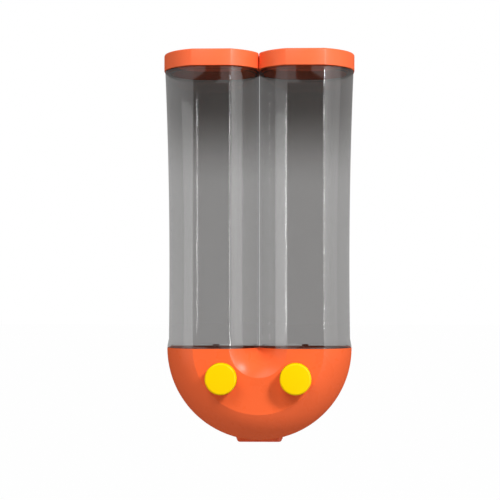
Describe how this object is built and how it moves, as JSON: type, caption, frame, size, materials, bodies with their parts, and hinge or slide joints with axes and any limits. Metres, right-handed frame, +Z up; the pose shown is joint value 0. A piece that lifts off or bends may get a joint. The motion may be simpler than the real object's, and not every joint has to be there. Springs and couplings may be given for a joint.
{
  "type": "wall-mounted double grain dispenser",
  "caption": "Wall-hung dry food dispenser: two clear lidded tanks on a half-round base whose round push buttons open sliding gates above one shared outlet.",
  "frame": {"origin": "middle of the back face of the bracket's pad, on the wall, halfway between the two screw holes", "axes": "+Y into the wall, +Z up along the tanks, +X to the right seen from the front"},
  "size_m": [0.171, 0.106, 0.3467],
  "materials": {
    "orange_casing": "satin moulded",
    "orange_inner": "satin moulded",
    "clear_tank": "clear polished",
    "yellow_button": "satin moulded",
    "natural_plastic": "natural moulded",
    "seal_rubber": "soft silicone",
    "spring_steel": "drawn wire",
    "screw_steel": "zinc plated",
    "foam_pad": "foam tape",
    "foot_rubber": "matt"
  },
  "bodies": {
    "wall": {"wall_bracket": "orange_casing", "wall_pad": "foam_pad"},
    "base": {"base_shell": "orange_casing", "back_cover": "orange_casing", "cover_screws": "screw_steel", "outlet_chute": "orange_casing", "gate_screws": "screw_steel", "back_bumpers": "foot_rubber", "hopper_left": "orange_inner", "gate_guide_left": "natural_plastic", "return_spring_left": "spring_steel", "hopper_right": "orange_inner", "gate_guide_right": "natural_plastic", "return_spring_right": "spring_steel"},
    "left_tank": {"tank_left": "clear_tank"},
    "left_lid": {"lid_left": "orange_casing", "lid_seal_left": "seal_rubber"},
    "left_button": {"button_left": "yellow_button", "slider_left": "natural_plastic"},
    "right_tank": {"tank_right": "clear_tank"},
    "right_lid": {"lid_right": "orange_casing", "lid_seal_right": "seal_rubber"},
    "right_button": {"button_right": "yellow_button", "slider_right": "natural_plastic"}
  },
  "joints": [
    {"name": "base_lift", "type": "slide", "parent": "wall", "child": "base", "axis": [0, 0, 1], "range_m": [0, 0.007]},
    {"name": "tank_left_lift", "type": "slide", "parent": "base", "child": "left_tank", "axis": [0, 0, 1], "range_m": [0, 0.012]},
    {"name": "lid_left_lift", "type": "slide", "parent": "left_tank", "child": "left_lid", "axis": [0, 0, 1], "range_m": [0, 0.02]},
    {"name": "button_left_press", "type": "slide", "parent": "base", "child": "left_button", "axis": [0, 1, 0], "range_m": [0, 0.012], "stiffness_N_per_m": 325, "springref_m": -0.006, "deforming": ["return_spring_left"]},
    {"name": "tank_right_lift", "type": "slide", "parent": "base", "child": "right_tank", "axis": [0, 0, 1], "range_m": [0, 0.012]},
    {"name": "lid_right_lift", "type": "slide", "parent": "right_tank", "child": "right_lid", "axis": [0, 0, 1], "range_m": [0, 0.02]},
    {"name": "button_right_press", "type": "slide", "parent": "base", "child": "right_button", "axis": [0, 1, 0], "range_m": [0, 0.012], "stiffness_N_per_m": 325, "springref_m": -0.006, "deforming": ["return_spring_right"]}
  ]
}
